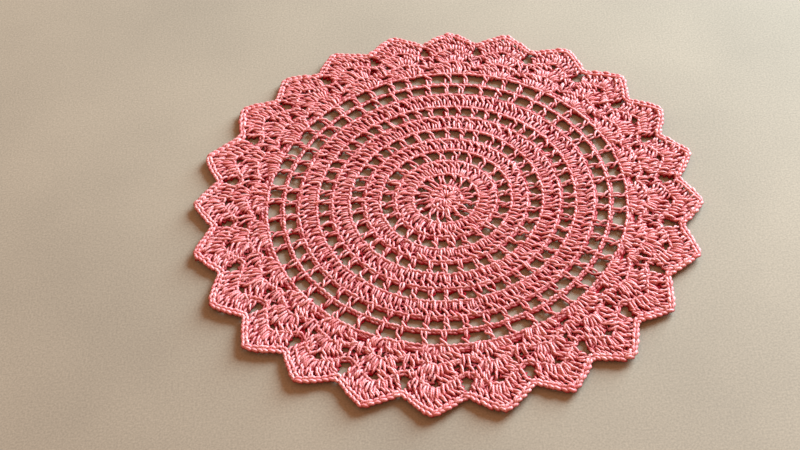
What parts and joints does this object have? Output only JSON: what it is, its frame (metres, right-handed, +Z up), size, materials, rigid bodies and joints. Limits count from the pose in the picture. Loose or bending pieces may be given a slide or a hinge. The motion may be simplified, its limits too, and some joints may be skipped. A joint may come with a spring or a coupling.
{
  "type": "lace doily",
  "caption": "Round crocheted lace doily lying flat: close rounds alternate with openwork rounds, inside a border of pointed scallops.",
  "frame": {"origin": "middle of the first round, on the flat underside", "axes": "+Z up out of the cloth's upper side; +Y and +X lie in the cloth, with +Y towards a notch between two scallops"},
  "size_m": [0.2964, 0.2944, 0.0056],
  "materials": {
    "cotton_yarn": "coral pink plied cotton yarn, slightly lustrous"
  },
  "bodies": {
    "root": {"doily": "cotton_yarn"}
  },
  "joints": []
}
